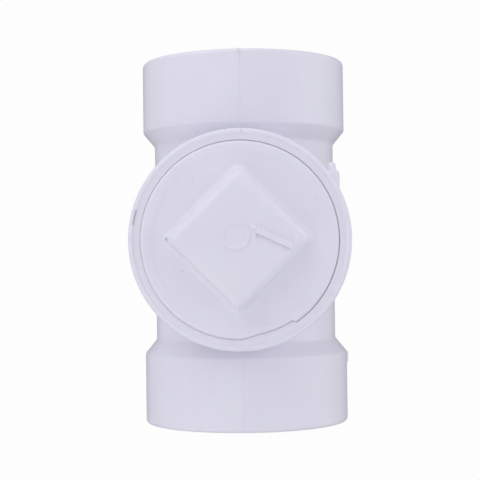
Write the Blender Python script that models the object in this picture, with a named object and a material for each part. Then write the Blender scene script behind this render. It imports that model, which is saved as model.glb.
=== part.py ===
"""A four-inch drainage cleanout tee of white rigid PVC.

A straight run has a pipe socket at each end. A short branch on its front carries a round boss,
and a plug with a raised square head screws into that boss. The tee stands on its lower socket,
with the run upright and the plug facing -Y.
"""

import math

import bmesh
import bpy
from mathutils import Matrix, Vector

MM = 0.001

# Run: waterway, walls and the two pipe sockets
PIPE_D = 114.3 * MM
SOCKET_MOUTH_PLAY = 0.6 * MM  # the mouth is this much wider than the pipe, across
SOCKET_STOP_BITE = 0.2 * MM  # and the bottom is this much narrower, so that the pipe wedges
SOCKET_DEPTH = 44.45 * MM
SOCKET_LEAD = 1.2 * MM  # chamfer inside the mouth
PIPE_STOP = 6.25 * MM  # width of the ledge that the pipe's end meets
STOP_PAST_MOUTH = 10.85 * MM  # from the threaded mouth's edge to the ledge, along the run
RUN_WALL = 5.45 * MM
HUB_WALL = 6.05 * MM
HUB_EDGE = 2.4 * MM  # rounding of the socket's outer end
HUB_LAP = 1.1 * MM  # how far the thick hub wall runs past the ledge
HUB_SHOULDER = 8.6 * MM  # height of the cone from the hub to the run
HUB_SHOULDER_ROUND = 2.0 * MM
NECK_ROUND = 3.0 * MM
STOP_ROUND = 0.8 * MM

# Branch: a short tube that widens into the threaded boss
BRANCH_SETBACK = 0.8 * MM  # the branch is this much smaller than the run, in radius
THREAD_D = 111.4 * MM  # mean diameter of the taper thread where it starts
THREAD_HEIGHT = 2.6 * MM  # the solids hold the thread's mean cone, and this is its depth
THREAD_TAPER = 1 / 16  # change of diameter along the axis
THREAD_LENGTH = 20.0 * MM
THROAT = 2.7 * MM  # wall between the thread's end and the run's waterway
MOUTH_RELIEF = 0.2 * MM  # the plain mouth clears the thread's deepest part by this
MOUTH_DEPTH = 3.4 * MM  # plain wall before the thread, from the lip
MOUTH_LEAD = 0.8 * MM
RING_WIDTH = 2.7 * MM  # sunk flat ring round the mouth
LIP_WIDTH = 3.6 * MM  # raised lip round that ring
LIP_STEP = 0.8 * MM
BOSS_LENGTH = 25.0 * MM
BOSS_SHOULDER = 9.0 * MM
BOSS_EDGE = 2.6 * MM
BOSS_SHOULDER_ROUND = 2.5 * MM

# Trimmed moulding gate on the boss's side, a block with an upright outer face
GATE_ANGLE = math.radians(27)  # where its lower edge leaves the boss
GATE_HEIGHT = 11.5 * MM
GATE_THICKNESS = 9.0 * MM  # along the branch
GATE_FROM_LIP = 7.0 * MM
GATE_EDGE = 1.2 * MM

# Plug: a hollow cup with a rounded rim and a raised square head
PLUG_FIT = 0.3 * MM  # gap all round between the plug and the boss
PLUG_PROUD = 0.9 * MM  # plug's rim in front of the boss's lip
PLUG_RIM_GAP = 0.55 * MM  # gap round the rim, seen as the dark line
PLUG_RIM_ROUND = 2.8 * MM
PLUG_FACE_WALL = 5.2 * MM
PLUG_SKIRT_WALL = 4.6 * MM
PLUG_END_GAP = 1.0 * MM
PLUG_LEAD = 1.5 * MM
BEAD_WIDTH = 3.2 * MM
BEAD_RISE = 0.45 * MM
HEAD_RISE = 12.7 * MM
HEAD_ACROSS = 53.2 * MM  # across the flats, at the top
HEAD_DRAFT = 3.4 * MM  # how much further out each flat's foot is than its top
HEAD_CORNER = 1.6 * MM
HEAD_EDGE = 1.0 * MM
HEAD_FILLET = 3.2 * MM
HEAD_WALL = 6.0 * MM
PAD_D = 15.6 * MM  # round pad at the middle of the head
PAD_RISE = 0.5 * MM
INSERT_D = 24.0 * MM  # round sunk mould mark on the head, right of the pad
INSERT_SINK = 0.6 * MM
INSERT_X = 19.0 * MM  # from the middle of the head to the middle of the mark
INSERT_BAR = 2.0 * MM  # width of the raised bar across it
INSERT_BAR_RISE = 0.3 * MM
INSERT_SLOPE = math.radians(-23)

ROUND_STEPS = 72
ARC_STEP = math.radians(22.5)
CORNER_STEPS = 4
OVERLAP = 2.0 * MM  # how far joined shapes and cutters run past each other

PVC_WHITE = (0.80, 0.79, 0.87, 1.0)
PVC_ROUGHNESS = 0.42

# Sizes worked out from those above
socket_mouth_r = (PIPE_D + SOCKET_MOUTH_PLAY) / 2
socket_stop_r = (PIPE_D - SOCKET_STOP_BITE) / 2
hub_r = socket_mouth_r + HUB_WALL
bore_r = socket_stop_r - PIPE_STOP
run_r = bore_r + RUN_WALL
branch_bore_r = bore_r - BRANCH_SETBACK
branch_r = run_r - BRANCH_SETBACK
mouth_r = THREAD_D / 2 + THREAD_HEIGHT / 2 + MOUTH_RELIEF
lip_r = mouth_r + MOUTH_LEAD + RING_WIDTH
boss_r = lip_r + LIP_WIDTH
stop_z = mouth_r + STOP_PAST_MOUTH
half_length = stop_z + SOCKET_DEPTH
thread_end = bore_r + THROAT
thread_start = thread_end + THREAD_LENGTH
lip = thread_start + MOUTH_DEPTH
ring = lip - LIP_STEP

plug_field = lip + PLUG_PROUD - BEAD_RISE
plug_rim = thread_start + PLUG_FIT
plug_end = thread_end + PLUG_END_GAP
plug_rim_r = mouth_r - PLUG_RIM_GAP
head_top = plug_field + HEAD_RISE
front = head_top + max(PAD_RISE, INSERT_BAR_RISE)
run_axis_y = (front - hub_r) / 2


def thread_r(height):
    """Mean radius of the boss's taper thread at a height along the branch, from the run's axis."""
    return (THREAD_D - (thread_start - height) * THREAD_TAPER) / 2


def clear_scene():
    for item in list(bpy.data.objects):
        bpy.data.objects.remove(item)


def white_pvc():
    material = bpy.data.materials.new("white_pvc")
    material.use_nodes = True
    shader = material.node_tree.nodes["Principled BSDF"]
    shader.inputs["Base Color"].default_value = PVC_WHITE
    shader.inputs["Roughness"].default_value = PVC_ROUGHNESS
    shader.inputs["Metallic"].default_value = 0.0
    return material


def rounded_outline(corners):
    """Points of an open outline whose corners are (radius, height, rounding).

    A rounding is held back where the straight stretches beside it are too short for it.
    """
    spots = [Vector(corner[:2]) for corner in corners]
    points = []
    for i, here in enumerate(spots):
        rounding = corners[i][2]
        if not rounding:
            points.append(here)
            continue
        back = spots[i - 1] - here
        ahead = spots[i + 1] - here
        half_turn = (math.pi - back.angle(ahead)) / 2
        reach = min(rounding * math.tan(half_turn), back.length * 0.49, ahead.length * 0.49)
        radius = reach / math.tan(half_turn)
        inward = (back.normalized() + ahead.normalized()).normalized()
        centre = here + inward * radius / math.cos(half_turn)
        start = here + back.normalized() * reach - centre
        side = math.copysign(1, (-back).cross(ahead))
        steps = max(2, math.ceil(2 * half_turn / ARC_STEP))
        for k in range(steps + 1):
            swing = Matrix.Rotation(side * 2 * half_turn * k / steps, 2)
            points.append(centre + swing @ start)
    return points


def finish_mesh(shape, name):
    """Turns a bmesh into an object's mesh, closed and shaded smooth between its sharp edges."""
    bmesh.ops.remove_doubles(shape, verts=shape.verts, dist=0.005 * MM)
    bmesh.ops.recalc_face_normals(shape, faces=shape.faces)
    mesh = bpy.data.meshes.new(name)
    shape.to_mesh(mesh)
    shape.free()
    mesh.shade_smooth()
    mesh.set_sharp_from_angle(angle=math.radians(30))
    return mesh


def turned(name, corners):
    """A solid of revolution about Z. Its outline starts and ends on the axis."""
    shape = bmesh.new()
    verts = [shape.verts.new((p.x, 0, p.y)) for p in rounded_outline(corners)]
    edges = [shape.edges.new(pair) for pair in zip(verts, verts[1:])]
    bmesh.ops.spin(
        shape,
        geom=verts + edges,
        cent=(0, 0, 0),
        axis=(0, 0, 1),
        angle=math.tau,
        steps=ROUND_STEPS,
        use_merge=True,
    )
    return finish_mesh(shape, name)


def diamond(half, corner):
    """Points round a square with rounded corners that stands on one of them."""
    points = []
    for quarter in range(4):
        start = math.radians(90) * quarter
        middle = Matrix.Rotation(start, 2) @ Vector((half - corner, half - corner))
        for k in range(CORNER_STEPS + 1):
            angle = start + math.radians(90) * k / CORNER_STEPS
            point = middle + Vector((math.cos(angle), math.sin(angle))) * corner
            points.append(Matrix.Rotation(math.radians(45), 2) @ point)
    return points


def lofted(name, sections):
    """A solid through square sections, each given as (half side, corner radius, height)."""
    shape = bmesh.new()
    loops = []
    for half, corner, height in sections:
        ring_verts = [shape.verts.new((p.x, p.y, height)) for p in diamond(half, corner)]
        pairs = zip(ring_verts, ring_verts[1:] + ring_verts[:1])
        loops.append([shape.edges.new(pair) for pair in pairs])
    for lower, upper in zip(loops, loops[1:]):
        bmesh.ops.bridge_loops(shape, edges=lower + upper)
    for end in (loops[0], loops[-1]):
        bmesh.ops.edgeloop_fill(shape, edges=end)
    return finish_mesh(shape, name)


def place(name, mesh, parent):
    item = bpy.data.objects.new(name, mesh)
    bpy.context.scene.collection.objects.link(item)
    item.parent = parent
    return item


def helper(name, mesh, parent):
    """A shape that only joins or cuts another."""
    item = place(name, mesh, parent)
    item.hide_render = True
    item.display_type = "WIRE"
    return item


def boolean(item, other, operation):
    modifier = item.modifiers.new(operation.lower() + "_" + other.name, "BOOLEAN")
    modifier.operation = operation
    modifier.object = other


def empty(name, location, turn=(0, 0, 0)):
    item = bpy.data.objects.new(name, None)
    bpy.context.scene.collection.objects.link(item)
    item.location = location
    item.rotation_euler = turn
    return item


def run_outside():
    """The run with its two hubs, solid."""
    hub_corner = stop_z + HUB_LAP
    upper = [
        (run_r, hub_corner - HUB_SHOULDER, NECK_ROUND),
        (hub_r, hub_corner, HUB_SHOULDER_ROUND),
        (hub_r, half_length, HUB_EDGE),
        (0, half_length, 0),
    ]
    lower = [(r, -z, rounding) for r, z, rounding in reversed(upper)]
    return turned("run_outside", lower + upper)


def run_inside():
    """The waterway with a tapered pipe socket at each end."""
    mouth = socket_mouth_r + SOCKET_LEAD
    upper = [
        (bore_r, stop_z, STOP_ROUND),
        (socket_stop_r, stop_z, 0),
        (socket_mouth_r, half_length - SOCKET_LEAD, 0),
        (mouth, half_length, 0),
        (mouth, half_length + OVERLAP, 0),
        (0, half_length + OVERLAP, 0),
    ]
    lower = [(r, -z, rounding) for r, z, rounding in reversed(upper)]
    return turned("run_inside", lower + upper)


def branch_outside():
    """The branch and its boss, solid, from the run's axis out to the lip."""
    shoulder = lip - BOSS_LENGTH
    corners = [
        (0, 0, 0),
        (branch_r, 0, 0),
        (branch_r, shoulder - BOSS_SHOULDER, NECK_ROUND),
        (boss_r, shoulder, BOSS_SHOULDER_ROUND),
        (boss_r, lip, BOSS_EDGE),
        (0, lip, 0),
    ]
    return turned("branch_outside", corners)


def branch_inside():
    """The branch's waterway, the taper that holds the thread, the mouth and the sunk ring."""
    corners = [
        (0, 0, 0),
        (branch_bore_r, 0, 0),
        (branch_bore_r, thread_end, STOP_ROUND),
        (thread_r(thread_end), thread_end, 0),
        (thread_r(thread_start), thread_start, 0),
        (mouth_r, thread_start, 0),
        (mouth_r, ring - MOUTH_LEAD, 0),
        (mouth_r + MOUTH_LEAD, ring, 0),
        (lip_r, ring, 0),
        (lip_r, lip + OVERLAP, 0),
        (0, lip + OVERLAP, 0),
    ]
    return turned("branch_inside", corners)


def gate_stub():
    """The block that is left where the moulding gate was trimmed."""
    outer = boss_r * math.cos(GATE_ANGLE)
    bottom = boss_r * math.sin(GATE_ANGLE)
    top = bottom + GATE_HEIGHT
    inner = math.sqrt(boss_r ** 2 - top ** 2) - OVERLAP
    front_face = lip - GATE_FROM_LIP
    size = Vector((outer - inner, GATE_HEIGHT + OVERLAP, GATE_THICKNESS))
    middle = Vector((outer + inner, top + bottom - OVERLAP, 2 * front_face - GATE_THICKNESS)) / 2
    shape = bmesh.new()
    bmesh.ops.create_cube(shape, size=1)
    bmesh.ops.scale(shape, vec=size, verts=shape.verts)
    bmesh.ops.bevel(
        shape,
        geom=shape.edges[:],
        offset=GATE_EDGE,
        segments=2,
        profile=0.5,
        affect="EDGES",
        material=-1,
    )
    bmesh.ops.translate(shape, vec=middle, verts=shape.verts)
    return finish_mesh(shape, "gate_stub")


def tee_body(run_frame, branch_frame, material):
    """One moulding: the run with its sockets, and the branch with its boss."""
    body = place("tee_body", run_outside(), run_frame)
    body.data.materials.append(material)
    boolean(body, helper("branch_outside", branch_outside(), branch_frame), "UNION")
    boolean(body, helper("gate_stub", gate_stub(), branch_frame), "UNION")
    boolean(body, helper("run_inside", run_inside(), run_frame), "DIFFERENCE")
    boolean(body, helper("branch_inside", branch_inside(), branch_frame), "DIFFERENCE")


def plug_cup():
    """The plug's face, its rim and its tapered skirt, open behind."""
    skirt_r = thread_r(plug_end) - PLUG_FIT
    bead = plug_rim_r - PLUG_RIM_ROUND - BEAD_WIDTH / 2
    back = plug_field - PLUG_FACE_WALL
    corners = [
        (0, plug_field, 0),
        (bead - BEAD_WIDTH / 2, plug_field, 0),
        (bead, plug_field + BEAD_RISE, 0),
        (plug_rim_r, plug_field + BEAD_RISE, PLUG_RIM_ROUND),
        (plug_rim_r, plug_rim, 0),
        (thread_r(plug_rim) - PLUG_FIT, plug_rim, 0),
        (thread_r(plug_end + PLUG_LEAD) - PLUG_FIT, plug_end + PLUG_LEAD, 0),
        (skirt_r - PLUG_LEAD / 2, plug_end, 0),
        (skirt_r - PLUG_SKIRT_WALL, plug_end, 0),
        (skirt_r - PLUG_SKIRT_WALL, back, PLUG_SKIRT_WALL / 2),
        (0, back, 0),
    ]
    return turned("plug_cup", corners)


def head_half(height):
    """Half the width of the square head's drafted flats at a height."""
    return HEAD_ACROSS / 2 + HEAD_DRAFT * (head_top - height) / HEAD_RISE


def head_outside():
    """The raised square, tapered, with a fillet at its foot and a rounded top edge."""
    foot = head_half(plug_field)
    sections = [(foot + HEAD_FILLET, HEAD_CORNER + HEAD_FILLET, plug_field - OVERLAP)]
    for k in range(4):
        angle = math.radians(90) * k / 3
        flare = HEAD_FILLET * (1 - math.sin(angle))
        height = plug_field + HEAD_FILLET * (1 - math.cos(angle))
        sections.append((head_half(height) + flare, HEAD_CORNER + flare, height))
    for k in range(3):
        angle = math.radians(90) * k / 2
        trim = HEAD_EDGE * (1 - math.cos(angle))
        height = head_top - HEAD_EDGE * (1 - math.sin(angle))
        sections.append((head_half(height) - trim, HEAD_CORNER, height))
    return lofted("head_outside", sections)


def head_inside():
    """The hollow behind the head, open to the back of the plug."""
    back = plug_field - PLUG_FACE_WALL
    roof = head_top - HEAD_WALL
    sections = [
        (head_half(back) - HEAD_WALL, HEAD_CORNER, back - OVERLAP),
        (head_half(roof - HEAD_EDGE) - HEAD_WALL, HEAD_CORNER, roof - HEAD_EDGE),
        (head_half(roof) - HEAD_WALL - HEAD_EDGE, HEAD_CORNER, roof),
    ]
    return lofted("head_inside", sections)


def head_pad():
    corners = [
        (0, head_top - OVERLAP, 0),
        (PAD_D / 2, head_top - OVERLAP, 0),
        (PAD_D / 2, head_top + PAD_RISE, 0),
        (0, head_top + PAD_RISE, 0),
    ]
    return turned("head_pad", corners)


def insert_recess():
    """The cutter of the round mould mark."""
    corners = [
        (0, head_top - INSERT_SINK, 0),
        (INSERT_D / 2, head_top - INSERT_SINK, 0),
        (INSERT_D / 2, head_top + OVERLAP, 0),
        (0, head_top + OVERLAP, 0),
    ]
    mesh = turned("insert_recess", corners)
    mesh.transform(Matrix.Translation((INSERT_X, 0, 0)))
    return mesh


def insert_bar():
    """The sloping bar that crosses the mould mark and stands a little above the head."""
    sunk = INSERT_SINK + OVERLAP
    shape = bmesh.new()
    bmesh.ops.create_cube(shape, size=1)
    bmesh.ops.scale(shape, vec=(INSERT_D, INSERT_BAR, INSERT_BAR_RISE + sunk), verts=shape.verts)
    bmesh.ops.rotate(shape, matrix=Matrix.Rotation(INSERT_SLOPE, 3, "Z"), verts=shape.verts)
    middle = (INSERT_X, 0, head_top + (INSERT_BAR_RISE - sunk) / 2)
    bmesh.ops.translate(shape, vec=middle, verts=shape.verts)
    return finish_mesh(shape, "insert_bar")


def cleanout_plug(branch_frame, material):
    """One moulding: the threaded cup and the square head that a wrench turns."""
    plug = place("cleanout_plug", plug_cup(), branch_frame)
    plug.data.materials.append(material)
    boolean(plug, helper("head_outside", head_outside(), branch_frame), "UNION")
    boolean(plug, helper("insert_recess", insert_recess(), branch_frame), "DIFFERENCE")
    boolean(plug, helper("insert_bar", insert_bar(), branch_frame), "UNION")
    boolean(plug, helper("head_pad", head_pad(), branch_frame), "UNION")
    boolean(plug, helper("head_inside", head_inside(), branch_frame), "DIFFERENCE")


def main():
    clear_scene()
    material = white_pvc()
    centre = (0, run_axis_y, half_length)
    run_frame = empty("run_axis", centre)
    branch_frame = empty("plug_axis", centre, turn=(math.radians(90), 0, 0))
    tee_body(run_frame, branch_frame, material)
    cleanout_plug(branch_frame, material)


main()
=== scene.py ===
import math

import bmesh
import bpy
from mathutils import Matrix, Vector


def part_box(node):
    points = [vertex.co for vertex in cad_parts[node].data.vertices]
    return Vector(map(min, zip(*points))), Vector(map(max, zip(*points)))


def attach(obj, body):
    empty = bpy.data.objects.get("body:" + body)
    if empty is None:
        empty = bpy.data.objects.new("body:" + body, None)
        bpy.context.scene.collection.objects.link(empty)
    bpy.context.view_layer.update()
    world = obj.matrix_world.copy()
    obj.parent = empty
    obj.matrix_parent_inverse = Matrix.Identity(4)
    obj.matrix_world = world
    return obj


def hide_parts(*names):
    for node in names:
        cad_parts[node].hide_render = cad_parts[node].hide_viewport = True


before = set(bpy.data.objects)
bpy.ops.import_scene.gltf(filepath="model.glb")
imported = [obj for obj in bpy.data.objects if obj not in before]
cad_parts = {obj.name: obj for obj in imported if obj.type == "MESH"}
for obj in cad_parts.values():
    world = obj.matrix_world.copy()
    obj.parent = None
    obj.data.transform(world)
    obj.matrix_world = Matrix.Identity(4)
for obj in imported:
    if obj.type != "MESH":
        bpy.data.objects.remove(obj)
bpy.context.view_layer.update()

mm = 0.001
craft = {  # how finely every moulding is made
    "turnInRounding": math.radians(9),
    "fewestInRounding": 3,
    "roundingShare": 0.49,  # the most of a neighbouring edge that a rounding takes
    "merge": 0.002 * mm,
    "touch": 0.01 * mm,  # what is closer than this counts as on the line or plane
    "sharpest": math.radians(32),
    "blockSteps": 6,
    "discSteps": 96,
    "discGap": 20 * mm,
}
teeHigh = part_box("tee_body")[1]

# Camera, in front of the plug and a little to its left

camera = {
    "away": 781.6 * mm,
    "aside": 3.10 * mm,
    "lower": -1.41 * mm,
    "yaw": math.radians(-2.528),
    "pitch": math.radians(-1.235),
    "roll": math.radians(-0.733),
    "lensMm": 92.42,
    "sensorMm": 36.0,
    "nearest": 20 * mm,
    "farthest": 60.0,
}

run = {
    "hubRadius": 63.5 * mm,
    "radius": 56.25 * mm,
    "boreRadius": 50.8 * mm,
    "socketMouthRadius": 57.45 * mm,
    "socketStopRadius": 57.05 * mm,
    "stopHeight": 68.05 * mm,  # from the branch's axis to the ledge that a pipe meets
    "hubLap": 1.1 * mm,
    "hubShoulder": 8.6 * mm,
    "neckRound": 3.0 * mm,
    "hubShoulderRound": 2.0 * mm,
    "hubEdge": 2.4 * mm,
    "socketLead": 1.2 * mm,
    "stopRound": 0.8 * mm,
    "steps": 192,
    "ringGap": 2.6 * mm,
    "overlap": 2.0 * mm,
}
halfHeight = teeHigh.z / 2
runAxisY = teeHigh.y - run["hubRadius"]
centre = Vector((0, runAxisY, halfHeight))
branchTurn = Matrix.Rotation(math.radians(90), 4, "X")  # a shape's Z becomes the branch's way out


def addCamera():
    turn = Matrix.Rotation(camera["pitch"], 3, "X") @ Matrix.Rotation(camera["yaw"], 3, "Z")
    back = turn.transposed()
    spot = centre - back @ Vector((camera["aside"], camera["away"], camera["lower"]))
    lens = bpy.data.cameras.new("studioCamera")
    lens.lens = camera["lensMm"]
    lens.sensor_width = camera["sensorMm"]
    lens.clip_start = camera["nearest"]
    lens.clip_end = camera["farthest"]
    item = bpy.data.objects.new("studioCamera", lens)
    bpy.context.scene.collection.objects.link(item)
    upright = Matrix.Rotation(math.radians(90), 4, "X")
    rolled = Matrix.Rotation(camera["roll"], 4, "Z")
    item.matrix_world = Matrix.Translation(spot) @ back.to_4x4() @ upright @ rolled
    bpy.context.scene.camera = item


addCamera()
print("camera placed")


# Wire outline through (radius, height, rounding) corners, divided finely enough to bend
def addOutline(shape, corners, ringGap, fine=None):
    verts = [shape.verts.new((radius, 0, height)) for radius, height, rounding in corners]
    for pair in zip(verts, verts[1:]):
        shape.edges.new(pair)
    for vert, (radius, height, rounding) in zip(verts, corners):
        if rounding:
            sides = [edge.other_vert(vert).co - vert.co for edge in vert.link_edges]
            halfTurn = (math.pi - sides[0].angle(sides[1])) / 2
            room = craft["roundingShare"] * min(side.length for side in sides)
            pieces = math.ceil(2 * halfTurn / craft["turnInRounding"])
            bmesh.ops.bevel(
                shape,
                geom=[vert],
                offset=min(rounding * math.tan(halfTurn), room),
                segments=max(craft["fewestInRounding"], pieces),
                profile=0.5,
                affect="VERTICES",
                material=-1,
            )
    touch = craft["touch"]
    for edge in shape.edges[:]:
        heights = [vert.co.z for vert in edge.verts]
        gap = ringGap
        if fine and min(heights) > fine[0] - touch and max(heights) < fine[1] + touch:
            gap = fine[2]
        onAxis = min(vert.co.x for vert in edge.verts) < touch
        cuts = 0 if onAxis else math.ceil(edge.calc_length() / gap) - 1
        if cuts > 0:
            bmesh.ops.subdivide_edges(shape, edges=[edge], cuts=cuts)


# A solid of revolution round Z
def turned(corners, steps, ringGap, fine=None):
    shape = bmesh.new()
    addOutline(shape, corners, ringGap, fine)
    bmesh.ops.spin(
        shape,
        geom=shape.verts[:] + shape.edges[:],
        cent=(0, 0, 0),
        axis=(0, 0, 1),
        angle=math.tau,
        steps=steps,
        use_merge=True,
    )
    return tidied(shape)


# A boolean gives its points in another order each run, so close ones are merged by place
def mergeClose(shape, distance):
    byPlace = sorted(shape.verts, key=lambda vert: vert.co[:])
    bmesh.ops.remove_doubles(shape, verts=byPlace, dist=distance)


def tidied(shape):
    mergeClose(shape, craft["merge"])
    bmesh.ops.recalc_face_normals(shape, faces=shape.faces[:])
    return shape


def asObject(shape, name, turn=None):
    if turn:
        bmesh.ops.transform(shape, matrix=turn, verts=shape.verts[:])
    mesh = bpy.data.meshes.new(name)
    shape.to_mesh(mesh)
    shape.free()
    item = bpy.data.objects.new(name, mesh)
    bpy.context.scene.collection.objects.link(item)
    return item


# item with each (tool, operation) applied to it in turn
def joined(item, tools):
    for tool, operation in tools:
        step = item.modifiers.new(tool.name, "BOOLEAN")
        step.operation = operation
        step.solver = "EXACT"
        step.object = tool
    bpy.context.view_layer.update()
    seen = item.evaluated_get(bpy.context.evaluated_depsgraph_get())
    mesh = bpy.data.meshes.new_from_object(seen)
    item.modifiers.clear()
    item.data = mesh
    for tool, _ in tools:
        bpy.data.objects.remove(tool)
    return item


# 1 between two angles, with a sharp start at the first and an eased end at the second
def lowRise(angle, start, end, ease):
    along = (start - angle) / (start - end)
    if not 0 <= along <= 1:
        return 0.0
    return min(1.0, (1 - along) / ease)


# The taper thread, shared by the boss and the plug

thread = {
    "startRadius": 55.7 * mm,  # mean radius where it starts
    "start": 73.5 * mm,  # from the run's axis
    "end": 53.5 * mm,
    "taper": 1 / 32,
    "pitch": 3.175 * mm,
    "depth": 2.3 * mm,
    "flat": 1.3,  # how far the ridges are cut flat, 1 is a sharp ridge
    "runOut": 2.4 * mm,
    "near": 0.05 * mm,  # how close a point of the taper lies to its mean cone
    "ringsInPitch": 10,
    "steps": 256,
    "tongueStart": math.radians(-57),
    "tongueEnd": math.radians(-90),
    "tongueEase": 0.32,
    "tongue": 2.0 * mm,
}


def threadRadius(height):
    return thread["startRadius"] - (thread["start"] - height) * thread["taper"]


# Moves the rings of a plain taper in and out along a right-hand helix
def cutThread(shape, low, high, clearance):
    for vert in shape.verts:
        height = vert.co.z
        radius = math.hypot(vert.co.x, vert.co.y)
        plain = threadRadius(height) - clearance
        if not low < height < high or abs(radius - plain) > thread["near"]:
            continue
        turn = math.atan2(vert.co.y, vert.co.x) / math.tau
        phase = (height / thread["pitch"] - turn) % 1
        wave = max(-1.0, min(1.0, thread["flat"] * (4 * abs(phase - 0.5) - 1)))
        fade = min(1.0, (high - height) / thread["runOut"], (height - low) / thread["runOut"])
        grown = radius + wave * fade * thread["depth"] / 2
        vert.co.x *= grown / radius
        vert.co.y *= grown / radius


def tongueDepth(vert):
    angle = math.atan2(vert.co.y, vert.co.x)
    start, end = thread["tongueStart"], thread["tongueEnd"]
    return thread["tongue"] * lowRise(angle, start, end, thread["tongueEase"])


# Tee body

boss = {
    "branchRadius": 55.45 * mm,
    "branchBoreRadius": 50.0 * mm,
    "radius": 64.3 * mm,
    "length": 25.0 * mm,
    "shoulder": 9.0 * mm,
    "edge": 1.9 * mm,
    "shoulderRound": 2.5 * mm,
    "neckRound": 3.0 * mm,
    "lip": 76.9 * mm,  # from the run's axis
    "lipRadius": 61.0 * mm,  # foot of the slope inside the raised lip
    "lipSlope": 0.9 * mm,
    "lipStep": 0.8 * mm,
    "lipEase": 0.7 * mm,
    "mouthRadius": 57.2 * mm,
    "mouthLead": 0.8 * mm,
    "steps": 256,
    "ringGap": 2.2 * mm,
    "blendReach": 4.5 * mm,
    "blendTimes": 40,
    "blendShare": 0.5,  # how far a point moves each time towards its neighbours' middle
    "blendMerge": 0.25 * mm,
}
partingLine = {
    "rise": 0.14 * mm,
    "halfWidth": 0.45 * mm,
    "sink": 0.38 * mm,  # how far one mould half lies back at the line
    "sinkWidth": 9.5 * mm,
    "crown": 0.4,  # share of the half width that stands up
    "cuts": (-1, -0.35, 0.35, 1, 4, 8),  # in half widths
}
stubs = [
    # low corner, high corner and edge of each left-over, seen from the front with Z ahead
    ("gateStub", (50.0, 24.0, 58.0), (57.7, 39.8, 75.6), 3.2),
    ("gateStep", (51.2, 30.0, 58.0), (55.6, 43.8, 74.8), 2.0),
    ("hubBump", (61.5, -76.5, -1.6), (64.25, -69.6, 1.6), 0.7),
    ("topNub", (-0.8, 110.4, 61.0), (0.8, 112.48, 64.5), 0.4),
]


def runOutside():
    hub = run["hubRadius"] - partingLine["rise"]
    corner = run["stopHeight"] + run["hubLap"]
    upper = [
        (run["radius"], corner - run["hubShoulder"], run["neckRound"]),
        (hub, corner, run["hubShoulderRound"]),
        (hub, halfHeight, run["hubEdge"]),
        (0, halfHeight, 0),
    ]
    lower = [(radius, -height, rounding) for radius, height, rounding in reversed(upper)]
    return lower + upper


def runInside():
    mouth = run["socketMouthRadius"] + run["socketLead"]
    upper = [
        (run["boreRadius"], run["stopHeight"], run["stopRound"]),
        (run["socketStopRadius"], run["stopHeight"], 0),
        (run["socketMouthRadius"], halfHeight - run["socketLead"], 0),
        (mouth, halfHeight, 0),
        (mouth, halfHeight + run["overlap"], 0),
        (0, halfHeight + run["overlap"], 0),
    ]
    lower = [(radius, -height, rounding) for radius, height, rounding in reversed(upper)]
    return lower + upper


def branchOutside():
    shoulder = boss["lip"] - boss["length"]
    return [
        (0, 0, 0),
        (boss["branchRadius"], 0, 0),
        (boss["branchRadius"], shoulder - boss["shoulder"], boss["neckRound"]),
        (boss["radius"], shoulder, boss["shoulderRound"]),
        (boss["radius"], boss["lip"], boss["edge"]),
        (0, boss["lip"], 0),
    ]


def branchInside():
    ring = boss["lip"] - boss["lipStep"]
    past = boss["lipStep"] + run["overlap"]
    mouth = boss["mouthRadius"]
    return [
        (0, 0, 0),
        (boss["branchBoreRadius"], 0, 0),
        (boss["branchBoreRadius"], thread["end"], run["stopRound"]),
        (threadRadius(thread["end"]), thread["end"], 0),
        (threadRadius(thread["start"]), thread["start"], 0),
        (mouth, thread["start"], 0),
        (mouth, ring, boss["mouthLead"]),
        (boss["lipRadius"], ring, boss["lipEase"]),
        (boss["lipRadius"] + boss["lipSlope"] * past / boss["lipStep"], ring + past, 0),
        (0, ring + past, 0),
    ]


# A box between two corners, with rounded edges
def block(low, high, edge):
    shape = bmesh.new()
    bmesh.ops.create_cube(shape, size=1)
    bmesh.ops.scale(shape, vec=high - low, verts=shape.verts[:])
    bmesh.ops.translate(shape, vec=(high + low) / 2, verts=shape.verts[:])
    bmesh.ops.bevel(
        shape,
        geom=shape.edges[:],
        offset=edge,
        segments=craft["blockSteps"],
        profile=0.5,
        affect="EDGES",
        material=-1,
    )
    return tidied(shape)


# Rounds the line where the branch meets the run by smoothing the mesh near it
def easeCrease(item, reach, times):
    shape = bmesh.new()
    shape.from_mesh(item.data)
    mergeClose(shape, boss["blendMerge"])

    def offRun(spot):
        return math.hypot(spot.x, spot.y) - run["radius"]

    def offBranch(spot):
        return math.hypot(spot.x, spot.z) - boss["branchRadius"]

    inner = run["stopHeight"] + run["hubLap"] - run["hubShoulder"]
    near = [
        vert
        for vert in shape.verts
        if vert.co.y < 0
        and abs(offRun(vert.co)) < reach
        and abs(offBranch(vert.co)) < reach
        and math.hypot(vert.co.x, vert.co.z) < boss["radius"]
        and abs(vert.co.z) < inner
    ]
    for _ in range(times):
        bmesh.ops.smooth_vert(
            shape,
            verts=near,
            factor=boss["blendShare"],
            use_axis_x=True,
            use_axis_y=True,
            use_axis_z=True,
        )
    tidied(shape).to_mesh(item.data)
    shape.free()


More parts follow.
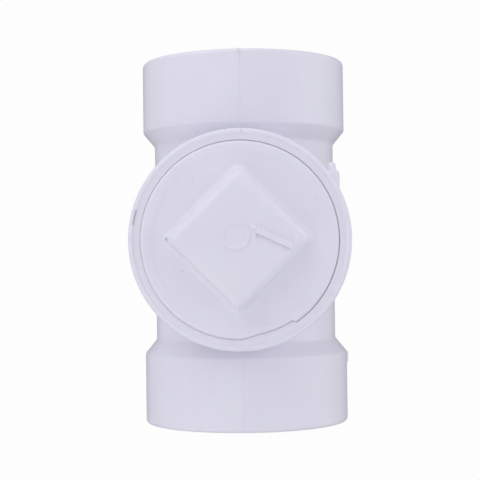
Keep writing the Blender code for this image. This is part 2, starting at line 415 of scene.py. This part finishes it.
# The fine line that the mould's two halves leave, in the plane through both axes
def raiseParting(item):
    half = partingLine["halfWidth"]
    shape = bmesh.new()
    shape.from_mesh(item.data)
    for share in partingLine["cuts"]:
        bmesh.ops.bisect_plane(
            shape,
            geom=shape.verts[:] + shape.edges[:] + shape.faces[:],
            plane_co=(share * half, 0, 0),
            plane_no=(1, 0, 0),
            dist=craft["merge"],
        )
    shape.normal_update()
    crown = partingLine["crown"] * half
    for vert in shape.verts:
        spot, normal = vert.co, vert.normal.copy()
        if not -crown < spot.x < partingLine["sinkWidth"]:
            continue
        onBranch = spot.y < -run["radius"] and abs(spot.z) < boss["radius"] + craft["touch"]
        ahead = abs(normal.y) if onBranch else abs(normal.z)
        if spot.x < crown:
            grown = partingLine["rise"]
        else:
            grown = -partingLine["sink"] * (1 - spot.x / partingLine["sinkWidth"]) ** 2
        vert.co = spot + normal * grown * (1 - ahead)
    tidied(shape).to_mesh(item.data)
    shape.free()


def shadedMesh(item):
    item.data.shade_smooth()
    item.data.set_sharp_from_angle(angle=craft["sharpest"])
    even = item.modifiers.new("evenShading", "WEIGHTED_NORMAL")
    even.keep_sharp = True


def teeBody():
    steps, gap = run["steps"], run["ringGap"]
    body = asObject(turned(runOutside(), steps, gap), "teeBody")
    branch = turned(branchOutside(), boss["steps"], boss["ringGap"])
    joined(body, [(asObject(branch, "branchOutside", branchTurn), "UNION")])
    easeCrease(body, boss["blendReach"], boss["blendTimes"])
    raiseParting(body)
    marks = []
    for name, low, high, edge in stubs:
        shape = block(Vector(low) * mm, Vector(high) * mm, edge * mm)
        marks.append((asObject(shape, name, branchTurn), "UNION"))
    joined(body, marks)
    fine = (thread["end"], thread["start"], thread["pitch"] / thread["ringsInPitch"])
    mouth = turned(branchInside(), thread["steps"], boss["ringGap"], fine)
    cutThread(mouth, thread["end"], thread["start"], 0)
    for vert in mouth.verts:
        radius = math.hypot(vert.co.x, vert.co.y)
        if vert.co.z > thread["start"] + craft["touch"] and radius > boss["branchBoreRadius"]:
            share = (boss["lipRadius"] - radius) / (boss["lipRadius"] - boss["mouthRadius"])
            share = max(0.0, min(1.0, share))
            moved = radius - tongueDepth(vert) * share
            vert.co.x *= moved / radius
            vert.co.y *= moved / radius
    joined(
        body,
        [
            (asObject(turned(runInside(), steps, gap), "runInside"), "DIFFERENCE"),
            (asObject(mouth, "branchInside", branchTurn), "DIFFERENCE"),
        ],
    )
    body.data.transform(Matrix.Translation(centre))
    shadedMesh(body)
    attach(body, "tee")
    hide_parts("tee_body")
    return body


# Cleanout plug

plug = {
    "fit": 0.3 * mm,
    "rimRadius": 57.06 * mm,
    "rimFoot": 57.1 * mm,
    "offCentre": 0.1 * mm,  # the rim lies closer to the mouth on one side
    "offCentreTowards": math.radians(235),
    "rimWear": 0.1 * mm,  # and is worn back from the tongue's end up the right side
    "rimWearEnd": math.radians(32),
    "rimWearEase": 0.6,
    "rimRound": 3.9 * mm,
    "rimBend": 0.8 * mm,  # how far inside the rounding its shifts begin
    "beadWidth": 4.0 * mm,
    "beadRise": 0.42 * mm,
    "beadRound": 9.0 * mm,
    "field": 77.35 * mm,  # the flat face, from the run's axis
    "rim": 73.8 * mm,
    "end": 54.5 * mm,
    "lead": 1.5 * mm,
    "faceWall": 5.2 * mm,
    "skirtWall": 4.6 * mm,
    "skirtEdge": 0.4 * mm,
    "steps": 256,
    "ringGap": 2.4 * mm,
}
head = {
    "rise": 12.7 * mm,
    "across": 57.0 * mm,
    "draft": 1.3 * mm,
    "corner": 4.0 * mm,
    "cornerSteps": 6,
    "edge": 4.0 * mm,
    "fillet": 4.2 * mm,
    "filletSteps": 12,
    "edgeSteps": 8,
    "wall": 6.0 * mm,
    "padRadius": 8.5 * mm,
    "padRise": 0.49 * mm,
    "padX": -1.6 * mm,  # it sits a little off the plug's axis
    "padY": 2.2 * mm,
    "padRim": 1.3 * mm,
    "padHollow": 0.05,  # share of the rise that the pad's middle keeps
}
mouldMark = {  # the sunk round mark on the head, with a bar across it
    "radius": 11.1 * mm,
    "x": 20.7 * mm,
    "y": 1.4 * mm,
    "sink": 0.5 * mm,
    "deepSink": 1.9 * mm,  # below the bar, from where the floor slopes up again
    "deepShare": 0.5,  # share of the radius where it has come up
    "slant": 1.3 * mm,
    "deepSlant": 0.14 * mm,
    "deepLap": 0.46 * mm,  # how far the deep part reaches under the bar
    "deepInset": 0.4 * mm,
    "barX": 0.1 * mm,
    "barDrop": 0.9 * mm,
    "barHalf": 11.3 * mm,
    "barWidth": 3.8 * mm,
    "barEdge": 0.45 * mm,
    "barRise": 0.48 * mm,
    "dotRadius": 1.9 * mm,
    "dotX": -13.4 * mm,
    "dotRise": 0.48 * mm,
    "slope": math.radians(-25),
}


def plugCup():
    rimRadius, field = plug["rimRadius"], plug["field"]
    bead = rimRadius - plug["rimRound"] - plug["beadWidth"] / 2
    skirt = threadRadius(plug["end"]) - plug["fit"]
    back = field - plug["faceWall"]
    return [
        (0, field, 0),
        (bead - plug["beadWidth"] / 2, field, plug["beadRound"]),
        (bead, field + plug["beadRise"], plug["beadRound"]),
        (rimRadius, field + plug["beadRise"], plug["rimRound"]),
        (plug["rimFoot"], plug["rim"], 0),
        (threadRadius(plug["rim"]) - plug["fit"], plug["rim"], 0),
        (threadRadius(plug["end"] + plug["lead"]) - plug["fit"], plug["end"] + plug["lead"], 0),
        (skirt - plug["lead"] / 2, plug["end"], 0),
        (skirt - plug["skirtWall"], plug["end"], plug["skirtEdge"]),
        (skirt - plug["skirtWall"], back, plug["skirtWall"] / 2),
        (0, back, 0),
    ]


# A square ring of edges, with rounded corners, that stands on one corner
def diamondRing(shape, half, corner, height):
    made = bmesh.ops.create_circle(shape, segments=4, radius=half * math.sqrt(2))
    verts = made["verts"]
    bmesh.ops.translate(shape, vec=(0, 0, height), verts=verts)
    rounded = bmesh.ops.bevel(
        shape,
        geom=verts,
        offset=corner,
        segments=head["cornerSteps"],
        profile=0.5,
        affect="VERTICES",
        material=-1,
    )
    found = {edge for vert in rounded["verts"] for edge in vert.link_edges}
    return list(found)


def lofted(sections):
    shape = bmesh.new()
    rings = [diamondRing(shape, *section) for section in sections]
    for lower, upper in zip(rings, rings[1:]):
        bmesh.ops.bridge_loops(shape, edges=lower + upper)
    for ring in (rings[0], rings[-1]):
        bmesh.ops.edgeloop_fill(shape, edges=ring)
    return tidied(shape)


def headHalf(height):
    top = plug["field"] + head["rise"]
    return head["across"] / 2 + head["draft"] * (top - height) / head["rise"]


def headOutside():
    field = plug["field"]
    top = field + head["rise"]
    fillet, edge, corner = head["fillet"], head["edge"], head["corner"]
    sections = [(headHalf(field) + fillet, corner + fillet, field - run["overlap"])]
    for step in range(head["filletSteps"] + 1):
        angle = math.radians(90) * step / head["filletSteps"]
        flare = fillet * (1 - math.sin(angle))
        height = field + fillet * (1 - math.cos(angle))
        sections.append((headHalf(height) + flare, corner + flare, height))
    for step in range(head["edgeSteps"] + 1):
        angle = math.radians(90) * step / head["edgeSteps"]
        trim = edge * (1 - math.cos(angle))
        height = top - edge * (1 - math.sin(angle))
        sections.append((headHalf(height) - trim, corner, height))
    return lofted(sections)


def headInside():
    back = plug["field"] - plug["faceWall"]
    roof = plug["field"] + head["rise"] - head["wall"]
    wall, edge, corner = head["wall"], head["edge"], head["corner"]
    return lofted(
        [
            (headHalf(back) - wall, corner, back - run["overlap"]),
            (headHalf(roof - edge) - wall, corner, roof - edge),
            (headHalf(roof) - wall - edge, corner, roof),
        ]
    )


def disc(radius, low, high, edge):
    outline = [(0, low, 0), (radius, low, 0), (radius, high, edge), (0, high, 0)]
    return turned(outline, craft["discSteps"], craft["discGap"])


# A shallow round cutter with a sloping side, open above the face it sinks into
def dish(radius, low, top, slant):
    lid = top + run["overlap"]
    outline = [
        (0, low, 0),
        (radius - slant, low, slant / 2),
        (radius, top, 0),
        (radius, lid, 0),
        (0, lid, 0),
    ]
    return turned(outline, craft["discSteps"], craft["discGap"])


# What lies behind a plane through the shape, closed where it was cut
def halved(shape, way, lap):
    bmesh.ops.bisect_plane(
        shape,
        geom=shape.verts[:] + shape.edges[:] + shape.faces[:],
        plane_co=way * lap,
        plane_no=way,
        clear_outer=True,
    )
    bmesh.ops.holes_fill(shape, edges=shape.edges[:])
    return tidied(shape)


# The round pad in the middle of the head, with a low rim
def headPad():
    top = plug["field"] + head["rise"]
    radius, rise, rim = head["padRadius"], head["padRise"], head["padRim"]
    outline = [
        (0, top - run["overlap"], 0),
        (radius, top - run["overlap"], 0),
        (radius, top + rise, rise / 2),
        (radius - rim, top + rise, rim / 2),
        (radius - 2 * rim, top + rise * head["padHollow"], rim / 2),
        (0, top + rise * head["padHollow"], 0),
    ]
    shape = turned(outline, craft["discSteps"], craft["discGap"])
    bmesh.ops.translate(shape, vec=(head["padX"], head["padY"], 0), verts=shape.verts[:])
    return shape


# How far the rim's edge stands out from a true circle, or in from it
def rimShift(vert):
    angle = math.atan2(vert.co.y, vert.co.x)
    aside = plug["offCentre"] * math.cos(angle - plug["offCentreTowards"])
    start, end = thread["tongueStart"], plug["rimWearEnd"]
    worn = plug["rimWear"] * lowRise(angle, start, end, plug["rimWearEase"])
    return aside - worn - tongueDepth(vert)


def cleanoutPlug():
    top = plug["field"] + head["rise"]
    gap = thread["pitch"] / thread["ringsInPitch"]
    fine = (plug["end"] + plug["lead"], plug["rim"], gap)
    cup = turned(plugCup(), plug["steps"], plug["ringGap"], fine)
    cutThread(cup, plug["end"] + plug["lead"], plug["rim"], plug["fit"])
    flatRadius = plug["rimRadius"] - plug["rimRound"] - plug["rimBend"]
    for vert in cup.verts:
        radius = math.hypot(vert.co.x, vert.co.y)
        if vert.co.z > plug["rim"] - craft["touch"] and radius > flatRadius:
            share = (radius - flatRadius) / (plug["rimRadius"] - flatRadius)
            moved = radius + share * rimShift(vert)
            vert.co.x *= moved / radius
            vert.co.y *= moved / radius
    item = asObject(cup, "cleanoutPlug", branchTurn)
    radius = mouldMark["radius"]
    deepRadius = radius - mouldMark["deepInset"]
    shallow = dish(radius, top - mouldMark["sink"], top, mouldMark["slant"])
    deep = halved(
        dish(deepRadius, top - mouldMark["deepSink"], top, mouldMark["deepSlant"]),
        Vector((0, 1, 0)),
        mouldMark["deepLap"],
    )
    tilt = -math.atan(mouldMark["deepSink"] / (radius * mouldMark["deepShare"]))
    bmesh.ops.rotate(
        deep,
        cent=(0, 0, top),
        matrix=Matrix.Rotation(tilt, 3, "X"),
        verts=deep.verts[:],
    )
    reach, half = mouldMark["barHalf"], mouldMark["barWidth"] / 2
    bar = block(
        Vector((-reach, -half, top - run["overlap"])),
        Vector((reach, half, top + mouldMark["barRise"])),
        mouldMark["barEdge"],
    )
    rise = mouldMark["dotRise"]
    dot = disc(mouldMark["dotRadius"], top - run["overlap"], top + rise, rise)
    bmesh.ops.translate(dot, vec=(mouldMark["dotX"], 0, 0), verts=dot.verts[:])
    aside = (mouldMark["barX"], -mouldMark["barDrop"], 0)
    for shape in (deep, bar):
        bmesh.ops.translate(shape, vec=aside, verts=shape.verts[:])
    slope = Matrix.Rotation(mouldMark["slope"], 3, "Z")
    for shape in (shallow, deep, bar, dot):
        bmesh.ops.rotate(shape, matrix=slope, verts=shape.verts[:])
        bmesh.ops.translate(shape, vec=(mouldMark["x"], mouldMark["y"], 0), verts=shape.verts[:])
    joined(
        item,
        [
            (asObject(headOutside(), "headOutside", branchTurn), "UNION"),
            (asObject(shallow, "markShallow", branchTurn), "DIFFERENCE"),
            (asObject(deep, "markDeep", branchTurn), "DIFFERENCE"),
            (asObject(bar, "markBar", branchTurn), "UNION"),
            (asObject(dot, "markDot", branchTurn), "UNION"),
            (asObject(headPad(), "headPad", branchTurn), "UNION"),
            (asObject(headInside(), "headInside", branchTurn), "DIFFERENCE"),
        ],
    )
    item.data.transform(Matrix.Translation(centre))
    shadedMesh(item)
    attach(item, "plug")
    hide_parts("cleanout_plug")
    return item


body = teeBody()
print("tee body", len(body.data.polygons), "faces")
closure = cleanoutPlug()
print("cleanout plug", len(closure.data.polygons), "faces")


# White moulded PVC

pvc = {
    "colour": (0.880, 0.872, 0.938, 1.0),
    "otherColour": (0.858, 0.849, 0.918, 1.0),  # where the plastic is a shade duller
    # the dark of the specks: dirt on the open faces, painted shade in the boss's groove
    "dirtAndShadeColour": (0.30, 0.31, 0.36, 1.0),
    "smooth": 0.32,
    "rough": 0.42,
    "subsurface": 0.3,
    "subsurfaceShares": (1.0, 1.0, 1.0),  # of the reach, for red, green and blue
    "subsurfaceReach": 1.6 * mm,
    "cloudScale": 34.0,
    "cloudDetail": 3.0,
    "streakScale": (150.0, 150.0, 9.0),
    "streakDetail": 2.0,
    "streakShare": 0.35,
    "tintSpread": (0.35, 0.65),  # the noise levels between which the colours change over
    "grainScale": 1400.0,
    "grainDepth": 0.02 * mm,
    "waveScale": 120.0,
    "waveDepth": 0.05 * mm,
    "reliefDetail": 2.0,
    "speckCore": 0.4,  # share of a speck's radius that is at full strength
}
# Painted shade in the groove of the boss on its left, laid down as a crescent of overlapping dark
# specks
grooveShade = {
    "radius": 61.9,  # from the branch's axis, in mm like the specks
    "face": -62.9,
    "start": 163.5,  # degrees
    "end": 172.0,
    "step": 0.55,
    "spot": 0.85,
    "strength": 0.5,
}
teeSpecks = [
    # place in mm, radius in mm, strength
    # these first two darken the top of the boss's groove: painted shade
    ((-7.6, -62.7, 176.2), 1.0, 0.4),
    ((1.5, -63.1, 174.9), 0.8, 0.35),
    ((-34.0, 66.0, 180.0), 0.6, 0.3),
    ((30.0, -39.0, 208.0), 0.5, 0.25),
]
plugSpecks = [
    ((-41.6, -64.5, 113.2), 1.5, 0.6),
    ((-41.0, -64.5, 111.9), 1.2, 0.5),
    ((-32.9, -63.9, 95.0), 0.6, 0.4),
    ((-26.4, -63.9, 146.6), 0.8, 0.15),
    ((31.7, -63.9, 128.9), 0.5, 0.25),
]


# Painted shade: a grey crescent of overlapping dark specks along the groove of the boss on its
# left, where the step's shade lies
def grooveShadeSpecks():
    middle = halfHeight / mm
    turns = (grooveShade["end"] - grooveShade["start"]) / grooveShade["step"]
    for step in range(round(turns)):
        angle = math.radians(grooveShade["start"] + step * grooveShade["step"])
        aside, above = grooveShade["radius"] * math.cos(angle), grooveShade["radius"] * math.sin(angle)
        yield (aside, grooveShade["face"], middle + above), grooveShade["spot"], grooveShade["strength"]


def whitePvc(name, specks):
    material = bpy.data.materials.new(name)
    material.use_nodes = True
    nodes, links = material.node_tree.nodes, material.node_tree.links
    shader = nodes["Principled BSDF"]
    shader.inputs["Subsurface Weight"].default_value = pvc["subsurface"]
    shader.inputs["Subsurface Radius"].default_value = pvc["subsurfaceShares"]
    shader.inputs["Subsurface Scale"].default_value = pvc["subsurfaceReach"]
    place = nodes.new("ShaderNodeTexCoord").outputs["Object"]

    def noise(scale, detail):
        texture = nodes.new("ShaderNodeTexNoise")
        texture.inputs["Scale"].default_value = scale
        texture.inputs["Detail"].default_value = detail
        links.new(place, texture.inputs["Vector"])
        return texture

    clouds = noise(pvc["cloudScale"], pvc["cloudDetail"])
    streaks = noise(1.0, pvc["streakDetail"])
    stretch = nodes.new("ShaderNodeMapping")
    stretch.inputs["Scale"].default_value = pvc["streakScale"]
    links.new(place, stretch.inputs["Vector"])
    links.new(stretch.outputs["Vector"], streaks.inputs["Vector"])
    both = nodes.new("ShaderNodeMix")
    both.inputs["Factor"].default_value = pvc["streakShare"]
    links.new(clouds.outputs["Fac"], both.inputs["A"])
    links.new(streaks.outputs["Fac"], both.inputs["B"])
    spread = nodes.new("ShaderNodeMapRange")
    spread.inputs["From Min"].default_value = pvc["tintSpread"][0]
    spread.inputs["From Max"].default_value = pvc["tintSpread"][1]
    links.new(both.outputs["Result"], spread.inputs["Value"])
    tint = nodes.new("ShaderNodeMix")
    tint.data_type = "RGBA"
    tint.inputs["A"].default_value = pvc["colour"]
    tint.inputs["B"].default_value = pvc["otherColour"]
    links.new(spread.outputs["Result"], tint.inputs["Factor"])
    colour = tint.outputs["Result"]
    # Each speck darkens the colour round one point; most are dirt, those in the boss's groove are
    # painted shade
    for spot, radius, strength in specks:
        gap = nodes.new("ShaderNodeVectorMath")
        gap.operation = "DISTANCE"
        gap.inputs[1].default_value = Vector(spot) * mm
        links.new(place, gap.inputs[0])
        near = nodes.new("ShaderNodeMapRange")
        near.inputs["From Min"].default_value = pvc["speckCore"] * radius * mm
        near.inputs["From Max"].default_value = radius * mm
        near.inputs["To Min"].default_value = strength
        near.inputs["To Max"].default_value = 0.0
        links.new(gap.outputs["Value"], near.inputs["Value"])
        marked = nodes.new("ShaderNodeMix")
        marked.data_type = "RGBA"
        marked.inputs["B"].default_value = pvc["dirtAndShadeColour"]
        links.new(near.outputs["Result"], marked.inputs["Factor"])
        links.new(colour, marked.inputs["A"])
        colour = marked.outputs["Result"]
    links.new(colour, shader.inputs["Base Color"])

    gloss = nodes.new("ShaderNodeMapRange")
    gloss.inputs["To Min"].default_value = pvc["smooth"]
    gloss.inputs["To Max"].default_value = pvc["rough"]
    links.new(clouds.outputs["Fac"], gloss.inputs["Value"])
    links.new(gloss.outputs["Result"], shader.inputs["Roughness"])

    surface = None
    for scale, depth in (("waveScale", "waveDepth"), ("grainScale", "grainDepth")):
        relief = nodes.new("ShaderNodeBump")
        relief.inputs["Distance"].default_value = pvc[depth]
        bumps = noise(pvc[scale], pvc["reliefDetail"])
        links.new(bumps.outputs["Fac"], relief.inputs["Height"])
        if surface:
            links.new(surface, relief.inputs["Normal"])
        surface = relief.outputs["Normal"]
    links.new(surface, shader.inputs["Normal"])
    return material


body.data.materials.clear()
# the tee's specks include painted shade in the boss's groove
body.data.materials.append(whitePvc("teePvc", [*teeSpecks, *grooveShadeSpecks()]))
closure.data.materials.clear()
closure.data.materials.append(whitePvc("plugPvc", plugSpecks))
print("materials")


# Studio

studio = {
    "white": 0.985,
    "floorSize": 8.0,
    "domeRadius": 9.0,
    "domeDivisions": 5,
    "lightColour": (0.935, 0.929, 1.0),
    "skyFrom": (-0.12, -0.8, 0.3),
    "skyBright": 0.595,
    "skyFaint": 0.5,
    "skyFade": (-0.75, 0.1),  # cosines between which the sky brightens
    "cards": [
        # from, cosines between which it darkens, share of the light that it leaves
        ((0.0, 1.0, 0.0), (0.66, 0.9), 0.1),  # behind the tee, draws its edges
        ((0.0, 0.0, -1.0), (0.86, 0.98), 0.1),  # under it, draws its foot
        ((-1.0, 0.1, 0.0), (0.75, 0.97), 0.66),  # on its left
    ],
    "lights": [
        # name, from, size, watts
        ("lowLeftWindow", (-1.1, -0.6, -1.15), 1.6, 6.1),
        ("rightWindow", (1.7, -0.25, 0.2), 1.6, 7.2),
        ("topPanel", (-0.65, -0.6, 1.35), 1.8, 10.4),
        ("frontPanel", (-0.4, -1.7, -0.4), 1.6, 1.0),
        ("floorGlow", (0.1, -1.1, -1.1), 1.6, 2.4),
    ],
}


def glowing(name, strength):
    material = bpy.data.materials.new(name)
    material.use_nodes = True
    nodes, links = material.node_tree.nodes, material.node_tree.links
    nodes.clear()
    glow = nodes.new("ShaderNodeEmission")
    glow.inputs["Strength"].default_value = strength
    end = nodes.new("ShaderNodeOutputMaterial")
    links.new(glow.outputs["Emission"], end.inputs["Surface"])
    return material


def addStage():
    shape = bmesh.new()
    bmesh.ops.create_grid(shape, x_segments=1, y_segments=1, size=studio["floorSize"])
    floor = asObject(shape, "studioFloor")
    shape = bmesh.new()
    bmesh.ops.create_icosphere(
        shape, subdivisions=studio["domeDivisions"], radius=studio["domeRadius"]
    )
    dome = asObject(shape, "studioDome")
    for item in (floor, dome):
        item.data.materials.append(glowing(item.name + "White", studio["white"]))
        item.visible_diffuse = False
        item.visible_glossy = False
        item.visible_transmission = False
        item.visible_shadow = False


# A wide soft sky, brightest ahead of the plug and above, with dark cards that draw the edges
def addWorld():
    world = bpy.data.worlds.new("studioWorld")
    bpy.context.scene.world = world
    world.use_nodes = True
    nodes, links = world.node_tree.nodes, world.node_tree.links
    way = nodes.new("ShaderNodeTexCoord").outputs["Generated"]

    def level(towards, fade, start, end):
        facing = nodes.new("ShaderNodeVectorMath")
        facing.operation = "DOT_PRODUCT"
        facing.inputs[1].default_value = Vector(towards).normalized()
        links.new(way, facing.inputs[0])
        eased = nodes.new("ShaderNodeMapRange")
        eased.interpolation_type = "SMOOTHSTEP"
        eased.inputs["From Min"].default_value = fade[0]
        eased.inputs["From Max"].default_value = fade[1]
        eased.inputs["To Min"].default_value = start
        eased.inputs["To Max"].default_value = end
        links.new(facing.outputs["Value"], eased.inputs["Value"])
        return eased.outputs["Result"]

    strength = level(studio["skyFrom"], studio["skyFade"], studio["skyFaint"], studio["skyBright"])
    for towards, fade, dark in studio["cards"]:
        shaded = nodes.new("ShaderNodeMath")
        shaded.operation = "MULTIPLY"
        links.new(strength, shaded.inputs[0])
        links.new(level(towards, fade, 1.0, dark), shaded.inputs[1])
        strength = shaded.outputs["Value"]
    sky = nodes["Background"]
    sky.inputs["Color"].default_value = (*studio["lightColour"], 1.0)
    links.new(strength, sky.inputs["Strength"])


def addLights():
    for name, spot, size, watts in studio["lights"]:
        lamp = bpy.data.lights.new(name, "AREA")
        lamp.shape = "SQUARE"
        lamp.size = size
        lamp.energy = watts
        lamp.color = studio["lightColour"]
        item = bpy.data.objects.new(name, lamp)
        bpy.context.scene.collection.objects.link(item)
        item.location = Vector(spot) + centre
        item.rotation_euler = (-Vector(spot)).to_track_quat("-Z", "Y").to_euler()


addStage()
addWorld()
addLights()
bpy.context.scene.view_settings.view_transform = "Standard"
print("studio")
